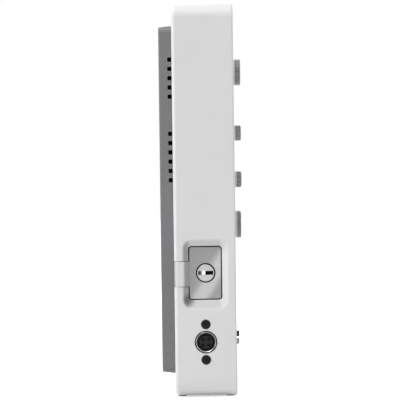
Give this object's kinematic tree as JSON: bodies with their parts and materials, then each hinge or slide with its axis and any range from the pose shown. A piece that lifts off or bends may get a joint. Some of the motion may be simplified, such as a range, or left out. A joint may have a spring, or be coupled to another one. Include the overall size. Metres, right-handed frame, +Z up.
{
  "type": "oscilloscope",
  "caption": "Slim battery bench oscilloscope: touch screen, push knobs and keys in front, side inputs, battery hatch with coin lock, power inlet, vented rear cover and kickstand.",
  "frame": {"origin": "on the table, under the middle of the whole object", "axes": "+Z up, the screen and controls face -Y, the grey cover faces +Y, the inputs are on +X"},
  "size_m": [0.3446, 0.0492, 0.2118],
  "materials": {
    "white_plastic": "off-white moulded plastic, very fine texture",
    "grey_plastic": "mid grey moulded plastic, fine texture",
    "knob_plastic": "dark grey ribbed plastic",
    "key_plastic": "light grey satin plastic",
    "black_plastic": "black satin plastic",
    "black_steel": "black oxide steel",
    "rubber": "black soft rubber",
    "screen_glass": "polished cover glass",
    "steel": "plain bright steel",
    "nickel": "bright nickel plating",
    "aluminium": "mill finish",
    "circuit_board": "green solder mask",
    "battery_wrap": "dark blue shrink wrap"
  },
  "bodies": {
    "housing": {"main_housing": "white_plastic", "foot_strip_front": "rubber", "foot_strip_rear": "rubber", "front_panel": "white_plastic", "touch_glass": "screen_glass", "lcd_module": "black_plastic", "mid_frame": "aluminium", "keypad_mat": "rubber", "control_board": "circuit_board", "signal_terminal": "black_plastic", "ground_terminal": "nickel", "main_board": "circuit_board", "heat_sink": "aluminium", "front_end_shield": "steel", "fan_frame": "black_plastic", "rear_cover": "grey_plastic", "kickstand_rod": "steel", "hatch_pin": "steel", "battery_bay": "black_plastic", "battery_pack": "battery_wrap", "dc_inlet_shell": "nickel", "dc_inlet_insert": "black_plastic", "inlet_screw_upper": "black_steel", "inlet_screw_lower": "black_steel", "bnc_input_1": "nickel", "bnc_input_2": "nickel", "bnc_input_3": "nickel", "bnc_input_4": "nickel", "lan_port": "steel", "usb_port": "steel"},
    "spindle_multipurpose": {"spindle_multipurpose": "steel"},
    "knob_multipurpose": {"knob_multipurpose": "knob_plastic"},
    "spindle_trigger_level": {"spindle_trigger_level": "steel"},
    "knob_trigger_level": {"knob_trigger_level": "knob_plastic"},
    "spindle_vertical_position": {"spindle_vertical_position": "steel"},
    "knob_vertical_position": {"knob_vertical_position": "knob_plastic"},
    "spindle_horizontal_position": {"spindle_horizontal_position": "steel"},
    "knob_horizontal_position": {"knob_horizontal_position": "knob_plastic"},
    "spindle_vertical_scale": {"spindle_vertical_scale": "steel"},
    "knob_vertical_scale": {"knob_vertical_scale": "knob_plastic"},
    "spindle_horizontal_scale": {"spindle_horizontal_scale": "steel"},
    "knob_horizontal_scale": {"knob_horizontal_scale": "knob_plastic"},
    "key_run_stop": {"key_run_stop": "key_plastic"},
    "key_single": {"key_single": "key_plastic"},
    "key_trigger_mode": {"key_trigger_mode": "key_plastic"},
    "key_maths": {"key_maths": "key_plastic"},
    "key_bus": {"key_bus": "key_plastic"},
    "key_autoset": {"key_autoset": "key_plastic"},
    "key_save": {"key_save": "key_plastic"},
    "key_zoom": {"key_zoom": "key_plastic"},
    "key_lock": {"key_lock": "key_plastic"},
    "key_channel_1": {"key_channel_1": "key_plastic"},
    "key_channel_2": {"key_channel_2": "key_plastic"},
    "key_channel_3": {"key_channel_3": "key_plastic"},
    "key_channel_4": {"key_channel_4": "key_plastic"},
    "power_button": {"power_button": "key_plastic"},
    "hatch_door": {"hatch_door": "white_plastic"},
    "coin_lock": {"coin_lock": "nickel"},
    "kickstand": {"kickstand": "grey_plastic"},
    "fan_rotor": {"fan_rotor": "black_plastic"}
  },
  "joints": [
    {"name": "turn_multipurpose", "type": "hinge", "parent": "housing", "child": "spindle_multipurpose", "pos_m": [0.13325, -0.0158, 0.19025], "axis": [0, 1, 0], "continuous": true},
    {"name": "push_multipurpose", "type": "slide", "parent": "spindle_multipurpose", "child": "knob_multipurpose", "axis": [0, 1, 0], "range_m": [0, 0.0005], "stiffness_N_per_m": 600},
    {"name": "turn_trigger_level", "type": "hinge", "parent": "housing", "child": "spindle_trigger_level", "pos_m": [0.13325, -0.0158, 0.15005], "axis": [0, 1, 0], "continuous": true},
    {"name": "push_trigger_level", "type": "slide", "parent": "spindle_trigger_level", "child": "knob_trigger_level", "axis": [0, 1, 0], "range_m": [0, 0.0005], "stiffness_N_per_m": 600},
    {"name": "turn_vertical_position", "type": "hinge", "parent": "housing", "child": "spindle_vertical_position", "pos_m": [0.09725, -0.0158, 0.11925], "axis": [0, 1, 0], "continuous": true},
    {"name": "push_vertical_position", "type": "slide", "parent": "spindle_vertical_position", "child": "knob_vertical_position", "axis": [0, 1, 0], "range_m": [0, 0.0005], "stiffness_N_per_m": 600},
    {"name": "turn_horizontal_position", "type": "hinge", "parent": "housing", "child": "spindle_horizontal_position", "pos_m": [0.13325, -0.0158, 0.11925], "axis": [0, 1, 0], "continuous": true},
    {"name": "push_horizontal_position", "type": "slide", "parent": "spindle_horizontal_position", "child": "knob_horizontal_position", "axis": [0, 1, 0], "range_m": [0, 0.0005], "stiffness_N_per_m": 600},
    {"name": "turn_vertical_scale", "type": "hinge", "parent": "housing", "child": "spindle_vertical_scale", "pos_m": [0.09725, -0.0158, 0.08995], "axis": [0, 1, 0], "continuous": true},
    {"name": "push_vertical_scale", "type": "slide", "parent": "spindle_vertical_scale", "child": "knob_vertical_scale", "axis": [0, 1, 0], "range_m": [0, 0.0005], "stiffness_N_per_m": 600},
    {"name": "turn_horizontal_scale", "type": "hinge", "parent": "housing", "child": "spindle_horizontal_scale", "pos_m": [0.13325, -0.0158, 0.08995], "axis": [0, 1, 0], "continuous": true},
    {"name": "push_horizontal_scale", "type": "slide", "parent": "spindle_horizontal_scale", "child": "knob_horizontal_scale", "axis": [0, 1, 0], "range_m": [0, 0.0005], "stiffness_N_per_m": 600},
    {"name": "press_key_run_stop", "type": "slide", "parent": "housing", "child": "key_run_stop", "axis": [0, 1, 0], "range_m": [0, 0.0006], "stiffness_N_per_m": 500},
    {"name": "press_key_single", "type": "slide", "parent": "housing", "child": "key_single", "axis": [0, 1, 0], "range_m": [0, 0.0006], "stiffness_N_per_m": 500},
    {"name": "press_key_trigger_mode", "type": "slide", "parent": "housing", "child": "key_trigger_mode", "axis": [0, 1, 0], "range_m": [0, 0.0006], "stiffness_N_per_m": 500},
    {"name": "press_key_maths", "type": "slide", "parent": "housing", "child": "key_maths", "axis": [0, 1, 0], "range_m": [0, 0.0006], "stiffness_N_per_m": 500},
    {"name": "press_key_bus", "type": "slide", "parent": "housing", "child": "key_bus", "axis": [0, 1, 0], "range_m": [0, 0.0006], "stiffness_N_per_m": 500},
    {"name": "press_key_autoset", "type": "slide", "parent": "housing", "child": "key_autoset", "axis": [0, 1, 0], "range_m": [0, 0.0006], "stiffness_N_per_m": 500},
    {"name": "press_key_save", "type": "slide", "parent": "housing", "child": "key_save", "axis": [0, 1, 0], "range_m": [0, 0.0006], "stiffness_N_per_m": 500},
    {"name": "press_key_zoom", "type": "slide", "parent": "housing", "child": "key_zoom", "axis": [0, 1, 0], "range_m": [0, 0.0006], "stiffness_N_per_m": 500},
    {"name": "press_key_lock", "type": "slide", "parent": "housing", "child": "key_lock", "axis": [0, 1, 0], "range_m": [0, 0.0006], "stiffness_N_per_m": 500},
    {"name": "press_key_channel_1", "type": "slide", "parent": "housing", "child": "key_channel_1", "axis": [0, 1, 0], "range_m": [0, 0.0006], "stiffness_N_per_m": 500},
    {"name": "press_key_channel_2", "type": "slide", "parent": "housing", "child": "key_channel_2", "axis": [0, 1, 0], "range_m": [0, 0.0006], "stiffness_N_per_m": 500},
    {"name": "press_key_channel_3", "type": "slide", "parent": "housing", "child": "key_channel_3", "axis": [0, 1, 0], "range_m": [0, 0.0006], "stiffness_N_per_m": 500},
    {"name": "press_key_channel_4", "type": "slide", "parent": "housing", "child": "key_channel_4", "axis": [0, 1, 0], "range_m": [0, 0.0006], "stiffness_N_per_m": 500},
    {"name": "press_power_button", "type": "slide", "parent": "housing", "child": "power_button", "axis": [0, 1, 0], "range_m": [0, 0.0006], "stiffness_N_per_m": 500},
    {"name": "hatch_hinge", "type": "hinge", "parent": "housing", "child": "hatch_door", "pos_m": [-0.16975, 0.0154, 0.06685], "axis": [0, 0, -1], "range_deg": [0, 95]},
    {"name": "lock_turn", "type": "hinge", "parent": "hatch_door", "child": "coin_lock", "pos_m": [-0.16945, 0.0005, 0.06685], "axis": [-1, 0, 0], "range_deg": [0, 90]},
    {"name": "kickstand_fold", "type": "hinge", "parent": "housing", "child": "kickstand", "pos_m": [-0.00575, 0.0228, 0.10415], "axis": [1, 0, 0], "range_deg": [0, 50]},
    {"name": "fan_spin", "type": "hinge", "parent": "housing", "child": "fan_rotor", "pos_m": [0.05525, 0.0123, 0.15175], "axis": [0, 1, 0], "continuous": true}
  ]
}
